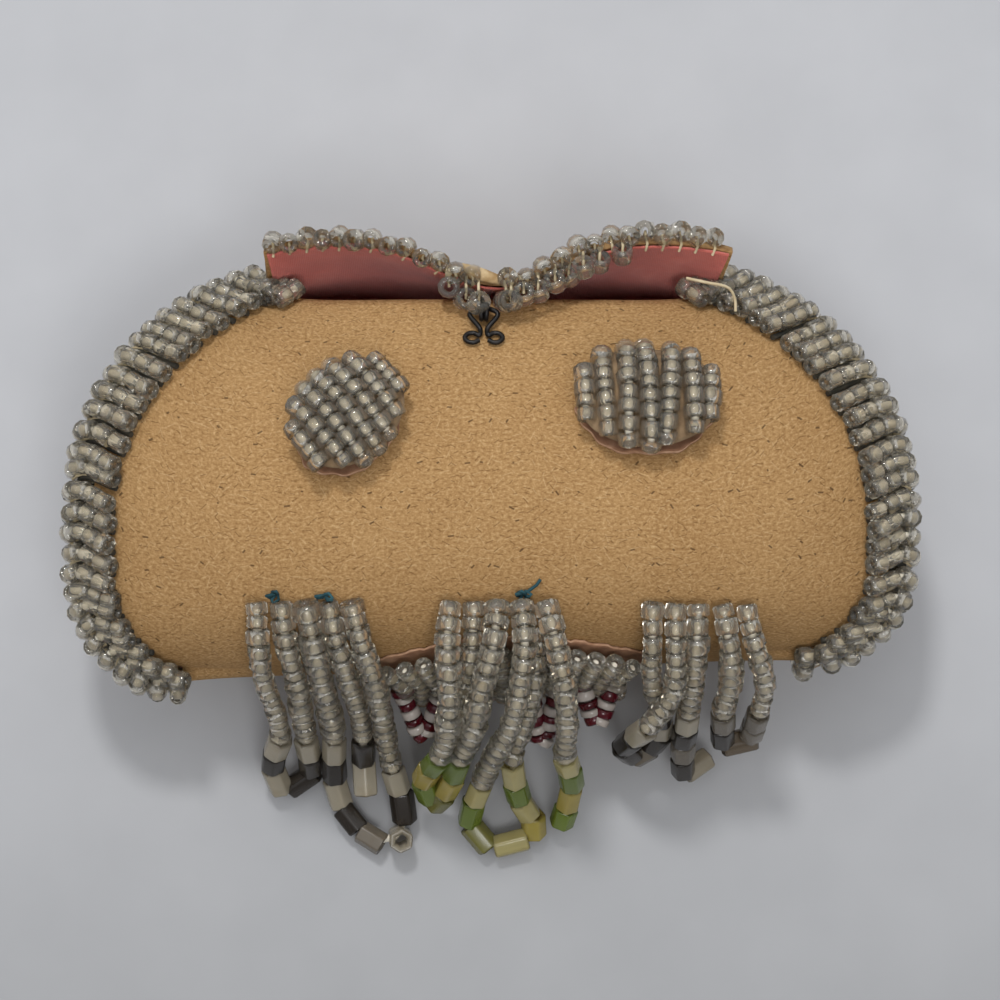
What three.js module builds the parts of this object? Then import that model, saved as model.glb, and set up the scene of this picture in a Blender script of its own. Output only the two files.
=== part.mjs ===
// Beaded souvenir purse, lying on its back: front up, mouth towards +Y, fringe towards -Y.
// Millimetres, +Z up. One folded card makes the front, the bottom fold, the back and the flap.
import * as THREE from "three";
import { LoftGeometry } from "three/addons/geometries/LoftGeometry.js";

// Card outline, seen from above
const halfWidth = 55.5;
const sideRadius = 34.5;
const widestY = -3;
const cornerRadius = 12;
const bottomY = -22.8;
const mouthHalf = 32;
const lipY = 26;

// Heights of the folded card above the table
const lipHeight = 32;
const lipLead = 14.5;
const crownReach = 42.5;
const shoulderReach = 48;
const foldHeight = 17.5;
const foldY = -24;
const foldTuck = 5;
const foldSkew = 0.033;
const mouthSeamHeight = 20;
const seamRise = 8;
const restFrontY = -11;
const restLead = 8;
const restBackY = 20;
const restShare = 0.45;
const wallY = 34.4;
const wallHeight = 13;
const wallLead = 5.5;
const wallTuck = 4;
const wallDent = 0.3;

// Flap
const flapX = 1;
const flapHalf = 33;
const flapTop = 36;
const flapDroop = 6;
const flapY = 35;
const tonguePull = 7;
const tongueShare = 0.36;
const flapBeadEnd = 0.96;
const tipClear = 0.06;
const insideFrom = 0.14;
const insideTo = 0.4;

// Thicknesses and clearances
const cardThickness = 1;
const liningThickness = 0.4;
const backingThickness = 0.4;
const gap = 0.3;
const liningGap = 0.78;
const seamHalfStack = 1.7;
const liningInset = 0.03;

// Beads
const seedDiameter = 2.7;
const seedPitch = 2.2;
const strandDiameter = 3;
const strandPitch = 2.5;
const hexDiameter = 3.9;
const hexPitch = 4.4;
const seamRowPitch = 2.5;
const seamArm = 4;
const seamWrap = 62;
const seamStart = 2;
const neckShare = 0.55;
const beadDip = 0.77;

// Hook and eye
const wireDiameter = 0.7;
const eyeRingWide = 1.05;
const eyeRingTall = 0.75;
const eyeLegHalf = 0.5;
const eyeLegTop = 1.35;
const eyeX = -1;
const eyeY = 19.2;
const eyeHeight = 3.9;
const eyeShoulder = 3;
const eyeLoopHalf = 1.95;
const hookWidth = 1.3;

// Beaded bosses and the fan at the bottom fold
const leftBoss = { x: -19.7, y: 7.9, across: 16.4, along: 14, turn: 42, rows: 6 };
const rightBoss = { x: 21.2, y: 9.8, across: 19, along: 13.8, turn: 0, rows: 7 };
const bossRise = 3.2;
const chordRoot = 1.03;
const backingMargin = 0.8;
const fanX = 2.5;
const fanHalf = 19.5;
const fanTop = 0.8;
const fanArch = 0.09;
const fanClearEnd = 0.98;
const fanEnd = 1;
const fanRows = 13;
const scallopTop = 0.99;
const fringeY = -17.4;
const innerFringeY = -20.4;
const seatGap = -0.2;
const stringGap = 0.5;

const cardSteps = 12;
const eyeSegments = 36;
const hookSegments = 14;
const foldStart = 0.94;
const step = 1e-3;

const tan = { color: 0xb58f5c, roughness: 0.9, metalness: 0 };
const pink = { color: 0xa8605c, roughness: 0.95, metalness: 0 };
const paper = { color: 0xa67a58, roughness: 0.95, metalness: 0 };
const clear = { color: 0xb9b2a4, roughness: 0.15, metalness: 0 };
const redWhite = { color: 0x7a2030, roughness: 0.15, metalness: 0 };
const greyHex = { color: 0x6e6a63, roughness: 0.2, metalness: 0 };
const greenHex = { color: 0x98a050, roughness: 0.2, metalness: 0 };
const black = { color: 0x1b1a1a, roughness: 0.4, metalness: 0.6 };

const purse = new THREE.Group();

function add(name, geometry, look) {
  const mesh = new THREE.Mesh(geometry, new THREE.MeshStandardMaterial(look));
  mesh.name = name;
  purse.add(mesh);
}

function loft(sections) {
  return new LoftGeometry(sections, { capStart: true, capEnd: true });
}

const lerp = THREE.MathUtils.lerp;

// Right-hand edge of the card from the mouth corner to the bottom fold
const outline = new THREE.Path();
const sideCentreX = halfWidth - sideRadius;
const mouthAngle = Math.acos((mouthHalf - sideCentreX) / sideRadius);
const cornerY = bottomY + cornerRadius;
outline.absarc(sideCentreX, widestY, sideRadius, mouthAngle, 0, true);
outline.absarc(halfWidth - cornerRadius, cornerY, cornerRadius, 0, -Math.PI / 2, true);

function seamHeight(q) {
  return lerp(mouthSeamHeight, foldHeight, q) + seamRise * Math.sin(Math.PI * q);
}

// Middle line of the front, from the lip over the crown to the bottom fold, as (y, z)
const frontLine = new THREE.CubicBezierCurve(
  new THREE.Vector2(lipY, lipHeight),
  new THREE.Vector2(lipY - lipLead, crownReach),
  new THREE.Vector2(foldY, shoulderReach),
  new THREE.Vector2(foldY, foldHeight),
);

// Middle line of the back, from the fold along the table and up the wall behind the mouth
const backLine = new THREE.CurvePath();
backLine.add(
  new THREE.CubicBezierCurve(
    new THREE.Vector2(foldY, foldHeight),
    new THREE.Vector2(foldY, foldTuck),
    new THREE.Vector2(restFrontY - restLead, 0),
    new THREE.Vector2(restFrontY, 0),
  ),
);
backLine.add(
  new THREE.LineCurve(new THREE.Vector2(restFrontY, 0), new THREE.Vector2(restBackY, 0)),
);
backLine.add(
  new THREE.CubicBezierCurve(
    new THREE.Vector2(restBackY, 0),
    new THREE.Vector2(wallY - wallLead, 0),
    new THREE.Vector2(wallY, wallTuck),
    new THREE.Vector2(wallY, wallHeight),
  ),
);

// Sewn edge of the card at row r: 0 is the lip, 1 the bottom fold, 2 the mouth corner at the back
function edgeAt(r) {
  const along = Math.min(r, 2 - r);
  const plan = outline.getPointAt(Math.min(Math.max(along, 0) / foldStart, 1));
  const bend = Math.max(along - foldStart, 0) / (1 - foldStart);
  const turn = (Math.PI / 2) * bend;
  const height = seamHeight(Math.min(along / foldStart, 1));
  const side = r > 1 ? -1 : 1;
  return new THREE.Vector3(
    plan.x,
    plan.y - seamHalfStack * Math.sin(turn),
    height + side * seamHalfStack * Math.cos(turn),
  );
}

// The bottom fold runs a little askew: the purse's left end of it lies lower
function askew(place) {
  place.y += foldSkew * place.x * Math.max(place.y / foldY, 0) ** 2;
  return place;
}

// Share of the flap's pulled-in tip at u, full in the middle
function tongue(u) {
  return Math.exp(-((u / tongueShare) ** 2));
}

// Point of the card's outer face: u runs from left to right edge, r along the card to the flap's edge
function card(u, r) {
  if (r > 2) {
    const base = card(u, 2);
    const rise = r - 2;
    const endY = flapY - tonguePull * tongue(u) - u ** 8;
    const endZ = flapTop - flapDroop * u * u;
    return new THREE.Vector3(
      lerp(base.x, flapX + u * flapHalf, rise),
      lerp(base.y, endY, rise * rise),
      lerp(base.z, endZ, rise),
    );
  }
  const edge = edgeAt(r);
  const middle = r > 1 ? backLine.getPointAt(r - 1) : frontLine.getPointAt(Math.max(r, 0));
  if (r > 1 && middle.x > restBackY) {
    middle.x = lerp(middle.x, restBackY, wallDent * tongue(u));
  }
  const flat = r > 1 ? restShare * Math.sin(Math.PI * (r - 1)) : 0;
  const out = Math.max(Math.min(Math.abs(u), 1) - flat, 0) / (1 - flat);
  const swell = (1 - out ** 4) ** 1.2;
  const y = lerp(middle.x, edge.y, Math.abs(u) ** 5);
  return askew(new THREE.Vector3(u * edge.x, y, lerp(edge.z, middle.y, swell)));
}

// Outward direction of the card's face
function cardNormal(u, r) {
  const before = Math.max(r - step, 0);
  const after = Math.min(r + step, 3);
  const left = Math.max(u - step, -1);
  const right = Math.min(u + step, 1);
  const along = card(u, after).sub(card(u, before));
  const across = card(right, r).sub(card(left, r));
  return along.cross(across).normalize();
}

function offCard(u, r, distance) {
  return card(u, r).addScaledVector(cardNormal(u, r), distance);
}

// Place on the front at a given x and y, lifted off the face
function onFront(x, y, distance) {
  let low = 0;
  let high = 1;
  for (let i = 0; i < 40; i++) {
    const r = (low + high) / 2;
    if (card(x / edgeAt(r).x, r).y > y) low = r;
    else high = r;
  }
  return offCard(x / edgeAt(low).x, low, distance);
}

// A sheet that follows the card between two distances from its outer face
function sheet(rows, columns, outer, inner) {
  const sections = rows.map((r) => {
    const top = columns.map((u) => offCard(u, r, -outer)).reverse();
    const bottom = columns.map((u) => offCard(u, r, -inner));
    return top.concat(bottom);
  });
  return loft(sections);
}

// Beads strung along a curve: each bead is a bulge between narrow necks
function beadRope(points, diameter, pitch, sides, bulges) {
  const path = new THREE.CatmullRomCurve3(points, false, "centripetal");
  const count = Math.max(1, Math.round(path.getLength() / pitch));
  const parts = 10;
  const frames = path.computeFrenetFrames(count * parts, false);
  const sections = [];
  const ring = (index, radius) => {
    const centre = path.getPointAt(index / (count * parts));
    const points = [];
    for (let k = 0; k < sides; k++) {
      const angle = (2 * Math.PI * k) / sides;
      const point = centre.clone();
      point.addScaledVector(frames.normals[index], radius * Math.cos(angle));
      point.addScaledVector(frames.binormals[index], radius * Math.sin(angle));
      points.push(point);
    }
    sections.push(points);
  };
  for (let bead = 0; bead < count; bead++) {
    ring(bead * parts, (diameter / 2) * neckShare);
    bulges.forEach((part) => ring(bead * parts + part, diameter / 2));
  }
  ring(count * parts, (diameter / 2) * neckShare);
  return loft(sections);
}

function seedRope(points) {
  return beadRope(points, seedDiameter, seedPitch, 4, [5]);
}

function strandRope(points) {
  return beadRope(points, strandDiameter, strandPitch, 4, [5]);
}

function hexRope(points) {
  return beadRope(points, hexDiameter, hexPitch, 6, [1, 9]);
}

function wire(points, width, thickness, segments) {
  const path = new THREE.CatmullRomCurve3(points, false, "centripetal");
  const frames = path.computeFrenetFrames(segments, false);
  const sections = [];
  for (let i = 0; i <= segments; i++) {
    const centre = path.getPointAt(i / segments);
    const points = [];
    for (let k = 0; k < 4; k++) {
      const angle = (Math.PI * k) / 2;
      const point = centre.clone();
      point.addScaledVector(frames.normals[i], (width / 2) * Math.cos(angle));
      point.addScaledVector(frames.binormals[i], (thickness / 2) * Math.sin(angle));
      points.push(point);
    }
    sections.push(points);
  }
  return loft(sections);
}

const point = (x, y, z) => new THREE.Vector3(x, y, z);

// Card and lining
const frontRows = [0, 0.1, 0.24, 0.4, 0.56, 0.7, 0.82, 0.91, 0.965];
const backRows = [1, 1.035, 1.09, 1.18, 1.29, 1.42, 1.6, 1.78, 1.9, 2];
const flapRows = [2.35, 2.7, 3];
const cardRows = [...frontRows, ...backRows, ...flapRows];
const cardColumns = [];
for (let i = 0; i <= cardSteps; i++) {
  cardColumns.push(Math.sin(Math.PI * (i / cardSteps - 0.5)));
}
add("card", sheet(cardRows, cardColumns, 0, cardThickness), tan);
const liningRows = [liningInset, ...cardRows.slice(1, -1), 3 - liningInset];
const liningFace = cardThickness + liningGap;
const liningBack = liningFace + liningThickness;
add("lining", sheet(liningRows, cardColumns.slice(1, -1), liningFace, liningBack), pink);

// Bead rows whipped over the sewn edge: over the front, round the edge and under the back
function seamPoint(side, q, place, distance) {
  const front = q * foldStart;
  const back = 2 - front;
  const inset = (Math.abs(place) - 1) * seamArm;
  if (Math.abs(place) > 1) {
    const r = place > 0 ? front : back;
    return offCard(side * (1 - inset / edgeAt(r).x), r, distance);
  }
  const plan = outline.getPointAt(q);
  const heading = outline.getTangentAt(q);
  const angle = place * THREE.MathUtils.degToRad(seamWrap);
  const reach = seamHalfStack + distance;
  const x = side * (plan.x - heading.y * reach * Math.cos(angle));
  const y = plan.y + heading.x * reach * Math.cos(angle);
  return askew(new THREE.Vector3(x, y, seamHeight(q) + reach * Math.sin(angle)));
}

function seamBeads(side) {
  const rows = Math.round(outline.getLength() / seamRowPitch);
  const sections = [];
  const outerPlaces = [2, 1.6, 1.1, 0.5, 0, -0.7, -1.8];
  const innerPlaces = [-1.8, -0.8, 0.8, 2];
  for (let i = seamStart; i < 2 * rows; i++) {
    const q = i / (2 * rows);
    const crest = i % 2 === 1;
    const outer = outerPlaces.map((place, k) => {
      const bead = k % 2 === 1 ? 1 : beadDip;
      return seamPoint(side, q, place, gap + seedDiameter * (crest ? bead : neckShare));
    });
    const inner = innerPlaces.map((place) => seamPoint(side, q, place, gap));
    const section = outer.concat(inner);
    sections.push(side > 0 ? section.reverse() : section);
  }
  return loft(sections);
}
add("right_seam_beads", seamBeads(1), clear);
add("left_seam_beads", seamBeads(-1), clear);

// Single row of beads sewn along the flap's edge, and a second row inside it right of the hook
function flapEdge(u) {
  const up = card(u, 3).sub(card(u, 3 - liningInset)).normalize();
  return offCard(u, 3, -cardThickness / 2).addScaledVector(up, seedDiameter / 2 + gap);
}

function flapBeads(from, to, inside) {
  const points = [];
  const count = Math.ceil((flapHalf * (to - from)) / seedDiameter);
  for (let i = 0; i <= count; i++) {
    points.push(flapEdge(lerp(from, to, i / count)).add(point(0, -inside, 0)));
  }
  return seedRope(points);
}
add("flap_beads_left", flapBeads(-flapBeadEnd, -tipClear, 0), clear);
add("flap_beads_right", flapBeads(tipClear, flapBeadEnd, 0), clear);
add("flap_beads_inside", flapBeads(insideFrom, insideTo, seedDiameter + gap), clear);

// A closed patch lofted across a face: place(across, along, share) gives its points, share 0 the underside
function patch(steps, alongs, shareAt, place) {
  const sections = [];
  for (let i = 0; i <= steps; i++) {
    const across = (2 * i) / steps - 1;
    const outer = alongs.map((along, k) => place(across, along, shareAt(i, k)));
    const under = alongs.filter((along, k) => k % 2 === 0).reverse();
    sections.push(outer.concat(under.map((along) => place(across, along, 0))));
  }
  return loft(sections);
}

// Rows of beads side by side: full height on the beads, lower between beads and between rows
function beadField(rows, place) {
  const alongs = [-0.97, -0.5, 0, 0.5, 0.97];
  const shareAt = (i, k) => {
    if (i % 2 === 0) return neckShare;
    return k % 2 === 1 ? 1 : beadDip;
  };
  return patch(2 * rows, alongs, shareAt, place);
}

function plainField(place) {
  return patch(8, [-1, -0.6, 0, 0.6, 1], () => 1, place);
}

const beadBase = 2 * gap + backingThickness;

// Domed bead bosses, each on its own round of paper
function onBoss(boss, across, along, margin, distance) {
  const a = across * (boss.across / 2 + margin);
  const b = -along * (boss.along / 2 + margin) * Math.sqrt(chordRoot - across * across);
  const turn = THREE.MathUtils.degToRad(boss.turn);
  const x = boss.x + a * Math.cos(turn) - b * Math.sin(turn);
  const y = boss.y + a * Math.sin(turn) + b * Math.cos(turn);
  return onFront(x, y, distance);
}

function bossBacking(boss) {
  return plainField((across, along, share) =>
    onBoss(boss, across, along, backingMargin, gap + share * backingThickness),
  );
}

function bossBeads(boss) {
  return beadField(boss.rows, (across, along, share) => {
    const middle = (1 - across * across) * (1 - along * along);
    const dome = share > 0 ? bossRise * Math.sqrt(middle) : 0;
    return onBoss(boss, across, along, 0, beadBase + share * seedDiameter + dome);
  });
}
add("left_boss_backing", bossBacking(leftBoss), paper);
add("left_boss_beads", bossBeads(leftBoss), clear);
add("right_boss_backing", bossBacking(rightBoss), paper);
add("right_boss_beads", bossBeads(rightBoss), clear);

// Fan of bead rows on an arched backing over the bottom fold
function onFan(across, half, along, end, distance) {
  const start = fanTop + fanArch * across * across;
  const r = lerp(start, end, (along + 1) / 2);
  return offCard((fanX + across * half) / edgeAt(r).x, r, distance);
}
const fanBacking = plainField((across, along, share) =>
  onFan(across, fanHalf, along, fanEnd, gap + share * backingThickness),
);
const fanBeads = beadField(fanRows, (across, along, share) =>
  onFan(across, fanHalf - backingMargin, along, fanClearEnd, beadBase + share * seedDiameter),
);
add("fan_backing", fanBacking, paper);
add("fan_clear_beads", fanBeads, clear);

// Scallops of dark red and white beads that hang from the fan's lower edge
function scallop(name, fromX, low, toX) {
  const foot = (x) => {
    const across = (x - fanX) / fanHalf;
    return onFan(across, fanHalf, 1, scallopTop, beadBase + seedDiameter / 2);
  };
  add(name, seedRope([foot(fromX), low, foot(toX)]), redWhite);
}
scallop("fan_scallop_left", -13, point(-9.6, -33.6, 13), -6.6);
scallop("fan_scallop_middle", 4.9, point(7.3, -34.4, 13), 9.8);
scallop("fan_scallop_right", 12.6, point(15, -32, 15.6), 17.4);

// Looped fringes: strands of clear beads sewn to the front, each giving back its lower end
function strand(name, topX, topY, points) {
  const top = onFront(topX, topY, strandDiameter / 2 + seatGap);
  add(name, strandRope([top, ...points]), clear);
  return points.at(-1);
}

// Hex-cut beads that hang from one strand's end, and may loop back to another's
function drop(name, look, from, points, to) {
  const near = (end, next) => end.clone().lerp(next, stringGap / end.distanceTo(next));
  const route = [near(from, points[0]), ...points];
  if (to) route.push(near(to, points.at(-1)));
  add(name, hexRope(route), look);
}

const leftOne = strand("left_strand_1", -31.7, fringeY, [
  point(-31.7, -22.5, 34.2),
  point(-31.3, -27, 28),
  point(-30.2, -30.5, 20.5),
  point(-29.9, -33.3, 13.4),
]);
const leftTwo = strand("left_strand_2", -28.4, fringeY, [
  point(-27.9, -22.5, 34.2),
  point(-26.9, -27, 28),
  point(-26.6, -30.5, 20.5),
  point(-26.3, -33.3, 13.4),
]);
const leftThree = strand("left_strand_3", -25.2, fringeY, [
  point(-24.2, -22.5, 34.2),
  point(-23.4, -27, 28),
  point(-22.7, -30.5, 20.5),
  point(-22.3, -33.3, 13.4),
]);
const leftFour = strand("left_strand_4", -22.1, fringeY, [
  point(-21, -22.5, 34.2),
  point(-19.7, -27, 28),
  point(-18.6, -30.5, 20.5),
  point(-18.2, -33.3, 13.4),
]);
const leftFive = strand("left_strand_5", -19, fringeY, [
  point(-17.7, -22.5, 34.2),
  point(-16.1, -27.2, 28),
  point(-15.3, -31, 20.5),
  point(-14.9, -34, 13),
  point(-14.3, -37, 8),
]);
const leftDropOne = [point(-31.4, -36.8, 6.4), point(-30.2, -39.6, 2.4), point(-26.8, -38.2, 3)];
drop("left_drop_1", greyHex, leftOne, leftDropOne, leftTwo);
const leftDropTwo = [point(-22.6, -37.8, 6), point(-22, -41.3, 3), point(-20, -44.7, 2.2)];
leftDropTwo.push(point(-16.1, -47.7, 2.2), point(-12.9, -47, 2.4), point(-12.7, -43.1, 3.4));
drop("left_drop_2", greyHex, leftThree, leftDropTwo, leftFive);
const leftDropThree = [point(-18.3, -37.5, 7.4), point(-18, -41.2, 6.2)];
drop("left_drop_3", greyHex, leftFour, leftDropThree);

const middleOne = strand("middle_strand_1", -5.5, fringeY, [
  point(-5.9, -23, 37.2),
  point(-5.6, -29.2, 33),
  point(-6, -33.8, 26),
  point(-7, -36.6, 19),
]);
strand("middle_strand_2", -2.3, fringeY, [
  point(-2.6, -23.4, 34.8),
  point(-3.2, -29.2, 27.4),
  point(-3.6, -32, 19.5),
]);
const middleThree = strand("middle_strand_3", 0.8, fringeY, [
  point(0.4, -23, 37.2),
  point(-1.4, -29.2, 33),
  point(-2.5, -33.8, 26),
  point(-4.3, -36.8, 18.6),
]);
const middleFour = strand("middle_strand_4", 4.1, fringeY, [
  point(4.6, -23, 37.2),
  point(3.8, -29.2, 33),
  point(2.4, -33.8, 26),
  point(0.2, -37, 18),
  point(-1.3, -39.6, 11.4),
]);
const middleFive = strand("middle_strand_5", 7.4, fringeY, [
  point(8.8, -23, 37.2),
  point(10.1, -29.2, 33),
  point(10.5, -33.8, 26),
  point(10.3, -36.6, 19),
]);
const middleSix = strand("middle_strand_6", 5.9, innerFringeY, [
  point(6.1, -26, 32.2),
  point(5.4, -30.4, 25.4),
  point(4, -34, 20.5),
  point(2.9, -37, 16.4),
]);
const middleDropOne = [point(-9.5, -39.6, 10), point(-8, -42, 6), point(-5.8, -39.9, 11.2)];
drop("middle_drop_1", greenHex, middleOne, middleDropOne, middleThree);
const middleDropTwo = [point(-2.8, -44.9, 3.5), point(-0.6, -47.7, 2.2), point(2.9, -47.8, 2.2)];
middleDropTwo.push(point(6.1, -45.7, 2.6), point(4, -41.6, 8));
drop("middle_drop_2", greenHex, middleFour, middleDropTwo, middleSix);
const middleDropThree = [point(11.4, -39.2, 12), point(11.2, -41.9, 7), point(10.2, -45, 2.8)];
drop("middle_drop_3", greenHex, middleFive, middleDropThree);

const rightOne = strand("right_strand_1", 21.9, fringeY, [
  point(22, -22.5, 34.2),
  point(22.2, -27, 28),
  point(23.7, -30, 20.5),
]);
const rightTwo = strand("right_strand_2", 25, fringeY, [
  point(25.1, -23, 34.6),
  point(25.1, -28.8, 28.8),
  point(22, -32.8, 21.6),
]);
const rightThree = strand("right_strand_3", 28.1, fringeY, [
  point(28, -22.5, 34.2),
  point(27.9, -27, 28),
  point(27.7, -30.5, 20.5),
]);
const rightFour = strand("right_strand_4", 31.3, fringeY, [
  point(32.5, -22.5, 33.4),
  point(33.1, -27, 28),
  point(32.5, -30.5, 20.5),
]);
const rightFive = strand("right_strand_5", 34.5, fringeY, [
  point(36, -22.5, 32.8),
  point(37.8, -27, 27.6),
  point(37.7, -30.5, 20.5),
]);
const rightDropOne = [point(19.2, -34.8, 11), point(21.6, -35.2, 6.4), point(24, -33.2, 10)];
drop("right_drop_1", greyHex, rightTwo, rightDropOne, rightOne);
const rightDropTwo = [point(27.5, -34.8, 11), point(28.3, -37.6, 5), point(31.6, -35.4, 3.6)];
drop("right_drop_2", greyHex, rightThree, rightDropTwo);
const rightDropThree = [point(33.7, -34, 11.4), point(36.3, -33.6, 10.6)];
drop("right_drop_3", greyHex, rightFour, rightDropThree, rightFive);

// Eye: a bent wire sewn below the lip, with two rings at its foot and a loop above them
const eyePoints = [];
const eyeLift = gap + wireDiameter / 2;
const ringPoint = (side, degrees) => {
  const angle = THREE.MathUtils.degToRad(degrees);
  const x = eyeX + side * (eyeLegHalf + eyeRingWide + eyeRingWide * Math.cos(angle));
  return onFront(x, eyeY + eyeRingTall * Math.sin(angle), eyeLift);
};
const loopLift = eyeLift + wireDiameter + gap;
for (let degrees = 150; degrees >= -150; degrees -= 50) {
  eyePoints.unshift(ringPoint(-1, degrees));
}
eyePoints.push(onFront(eyeX - eyeLegHalf, eyeY + eyeLegTop, eyeLift));
eyePoints.push(onFront(eyeX - eyeLoopHalf, eyeY + eyeShoulder, loopLift));
eyePoints.push(onFront(eyeX, eyeY + eyeHeight, loopLift));
eyePoints.push(onFront(eyeX + eyeLoopHalf, eyeY + eyeShoulder, loopLift));
eyePoints.push(onFront(eyeX + eyeLegHalf, eyeY + eyeLegTop, eyeLift));
for (let degrees = 150; degrees >= -150; degrees -= 50) {
  eyePoints.push(ringPoint(1, degrees));
}
add("eye", wire(eyePoints, wireDiameter, wireDiameter, eyeSegments), black);

// Hook: a doubled wire, bent in one plane, from inside the flap's tip to under the eye's loop
const hookRoot = -(liningBack + gap + wireDiameter / 2);
const hookPoints = [
  offCard((eyeX - flapX) / flapHalf, 3 - liningInset, hookRoot),
  onFront(eyeX, eyeY + eyeHeight, eyeLift),
  onFront(eyeX, eyeY + 0.75 * eyeHeight, eyeLift),
  onFront(eyeX, eyeY + 0.62 * eyeHeight, eyeLift + 1.6 * wireDiameter),
  onFront(eyeX, eyeY + 0.8 * eyeHeight, eyeLift + 3 * wireDiameter),
];
hookPoints.forEach((place) => place.setX(eyeX));
add("hook", wire(hookPoints, hookWidth, wireDiameter, hookSegments), black);

export default purse;
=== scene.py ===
import bisect
import math
import random
from types import SimpleNamespace

import bmesh
import bpy
from mathutils import Matrix, Vector
from mathutils.geometry import interpolate_bezier


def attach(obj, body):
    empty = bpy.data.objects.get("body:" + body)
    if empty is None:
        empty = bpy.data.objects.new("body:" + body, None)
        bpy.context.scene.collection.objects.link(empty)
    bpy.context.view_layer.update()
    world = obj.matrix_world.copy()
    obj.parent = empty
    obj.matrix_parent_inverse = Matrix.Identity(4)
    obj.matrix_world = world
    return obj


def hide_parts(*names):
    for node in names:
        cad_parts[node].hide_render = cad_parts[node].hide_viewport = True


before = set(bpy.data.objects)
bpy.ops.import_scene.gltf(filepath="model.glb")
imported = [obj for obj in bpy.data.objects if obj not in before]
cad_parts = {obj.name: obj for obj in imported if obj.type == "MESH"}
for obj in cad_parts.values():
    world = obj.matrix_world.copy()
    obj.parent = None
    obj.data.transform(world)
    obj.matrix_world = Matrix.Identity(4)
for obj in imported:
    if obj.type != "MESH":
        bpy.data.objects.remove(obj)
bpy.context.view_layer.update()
mm = 0.001
rng = random.Random(7)


# The table and the light.
# The purse lies on a sheet of pale grey paper under broad, soft daylight from behind its mouth.
# The camera looks down on it, a little from the side of the fringes.
table_half, near_edge, near_fade = 3.0, 0.07, 16
sky_heading, lamp_aim = (-0.1, 0.3, 0.95), (0, 0, 0.02)
camera_height, camera_distance, camera_tilt = 18, 420, math.radians(80)
sensor_width, lens_share, view_shift, nearest_view = 36, 2.94, 0.009, 0.01


def paint(red, green, blue):
    shares = [value / 255 for value in (red, green, blue)]
    return tuple(((s + 0.055) / 1.055) ** 2.4 if s > 0.04 else s / 12.92 for s in shares) + (1,)


def new_finish(name):
    finish = bpy.data.materials.new(name)
    finish.use_nodes = True
    return finish, finish.node_tree.nodes["Principled BSDF"]


def node(finish, kind, **values):
    made = finish.node_tree.nodes.new(kind)
    for key, value in values.items():
        if hasattr(made, key):
            setattr(made, key, value)
        else:
            made.inputs[key.replace("_", " ")].default_value = value
    return made


def feed(finish, socket, value):
    if isinstance(value, bpy.types.NodeSocket):
        finish.node_tree.links.new(value, socket)
    else:
        socket.default_value = value


def mixed(finish, share, first, second, blend="MIX"):
    made = node(finish, "ShaderNodeMix", data_type="RGBA", blend_type=blend)
    feed(finish, made.inputs[0], share)
    feed(finish, made.inputs[6], first)
    feed(finish, made.inputs[7], second)
    return made.outputs[2]


def sums(finish, operation, first, second=0.0):
    made = node(finish, "ShaderNodeMath", operation=operation)
    feed(finish, made.inputs[0], first)
    feed(finish, made.inputs[1], second)
    return made.outputs[0]


def clouds(finish, place, scale, detail=3.0, roughness=0.5):
    made = node(finish, "ShaderNodeTexNoise", Scale=scale, Detail=detail, Roughness=roughness)
    feed(finish, made.inputs["Vector"], place)
    return made.outputs["Fac"]


def ramp(finish, share, *stops):
    made = node(finish, "ShaderNodeValToRGB")
    while len(made.color_ramp.elements) < len(stops):
        made.color_ramp.elements.new(0.5)
    for element, (position, colour) in zip(made.color_ramp.elements, stops):
        element.position = position
        element.color = colour
    feed(finish, made.inputs[0], share)
    return made.outputs[0]


def bump(finish, height, strength, distance):
    made = node(finish, "ShaderNodeBump", Strength=strength, Distance=distance)
    feed(finish, made.inputs["Height"], height)
    return made.outputs[0]


def object_place(finish):
    return node(finish, "ShaderNodeTexCoord").outputs["Object"]


def uv_place(finish):
    return node(finish, "ShaderNodeTexCoord").outputs["UV"]


def make_piece(name, bm, finish):
    mesh = bpy.data.meshes.new(name)
    for face in bm.faces:
        face.smooth = True
    bm.to_mesh(mesh)
    bm.free()
    piece = bpy.data.objects.new(name, mesh)
    bpy.context.scene.collection.objects.link(piece)
    mesh.materials.append(finish)
    return piece


table_paper, shader = new_finish("pale_table_paper")
grain = clouds(table_paper, object_place(table_paper), scale=60.0)
tone = ramp(table_paper, grain, (0.3, paint(186, 187, 190)), (0.7, paint(191, 192, 195)))
along = node(table_paper, "ShaderNodeSeparateXYZ")
feed(table_paper, along.inputs[0], object_place(table_paper))
# Painted shade: the paper's colour darkens towards the near edge, standing in for the soft shadow the purse
# casts towards the camera.
painted_shade_share = sums(table_paper, "MULTIPLY", sums(table_paper, "ADD", along.outputs[1], near_edge), near_fade)
shade = ramp(table_paper, painted_shade_share, (0, paint(226, 226, 225)), (1, paint(255, 255, 255)))
feed(table_paper, shader.inputs["Base Color"], mixed(table_paper, 1.0, tone, shade, "MULTIPLY"))
shader.inputs["Roughness"].default_value = 0.9
bm = bmesh.new()
bmesh.ops.create_grid(bm, x_segments=8, y_segments=8, size=table_half)
make_piece("table", bm, table_paper)

world = bpy.data.worlds.new("soft_daylight")
bpy.context.scene.world = world
world.use_nodes = True
brightness = node(world, "ShaderNodeVectorMath", operation="DOT_PRODUCT")
feed(world, brightness.inputs[0], node(world, "ShaderNodeTexCoord").outputs["Generated"])
brightness.inputs[1].default_value = sky_heading
sky = world.node_tree.nodes["Background"]
feed(world, sky.inputs["Color"], ramp(
    world, brightness.outputs["Value"], (0.0, (0.14, 0.14, 0.14, 1)), (0.35, (0.26, 0.26, 0.265, 1)),
    (0.75, (0.68, 0.69, 0.71, 1)), (1.0, (0.94, 0.95, 0.97, 1))))


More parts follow.
